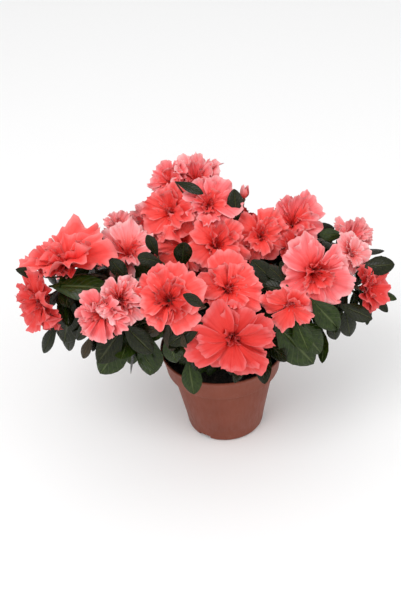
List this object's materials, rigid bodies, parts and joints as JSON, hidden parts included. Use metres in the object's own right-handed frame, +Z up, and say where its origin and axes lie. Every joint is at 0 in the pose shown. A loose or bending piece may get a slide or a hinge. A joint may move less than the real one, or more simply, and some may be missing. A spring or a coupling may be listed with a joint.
{
  "type": "potted azalea shrub",
  "caption": "Low spreading azalea shrub with large double coral blooms over dark leaves, in a tapered nursery pot with a flared collar.",
  "frame": {"origin": "centre of the pot's flat underside", "axes": "+Z up along the pot's axis, +X along the crown's long way, -Y towards the side the plant is shown from"},
  "size_m": [0.3123, 0.2386, 0.2472],
  "materials": {
    "pot_plastic": "terracotta-brown moulded plastic, semi-matte",
    "peat": "dark moist crumbly peat",
    "bark": "thin grey-brown bark",
    "blossom": "soft coral petals",
    "foliage": "dark green leathery leaves"
  },
  "bodies": {
    "root": {"pot": "pot_plastic", "root_ball": "peat", "trunk": "bark", "bough_back_left": "bark", "bough_back_right": "bark", "bough_back_top": "bark", "bough_front": "bark", "bough_front_left": "bark", "bough_front_right": "bark", "bough_left": "bark", "bough_left_back": "bark", "bough_left_middle": "bark", "bough_middle": "bark", "bough_right": "bark", "bough_right_top": "bark", "bough_summit": "bark", "head_back": "blossom", "head_back_far_left": "blossom", "head_back_left": "blossom", "head_back_outer_left": "blossom", "head_back_right": "blossom", "head_back_top": "blossom", "head_back_top_left": "blossom", "head_back_top_right": "blossom", "head_far_left": "blossom", "head_far_right": "blossom", "head_front_left": "blossom", "head_front_low": "blossom", "head_front_middle": "blossom", "head_front_right": "blossom", "head_left": "blossom", "head_left_back": "blossom", "head_left_front": "blossom", "head_left_middle": "blossom", "head_middle": "blossom", "head_right": "blossom", "head_right_back": "blossom", "head_right_middle": "blossom", "head_right_outer": "blossom", "head_right_top": "blossom", "head_summit": "blossom", "head_top_left": "blossom", "head_top_middle": "blossom", "skirt_back_left": "foliage", "skirt_back_right": "foliage", "skirt_front_left": "foliage", "skirt_front_right": "foliage", "skirt_left": "foliage", "skirt_left_back": "foliage", "skirt_left_front": "foliage", "skirt_right": "foliage", "skirt_right_back": "foliage"}
  },
  "joints": []
}
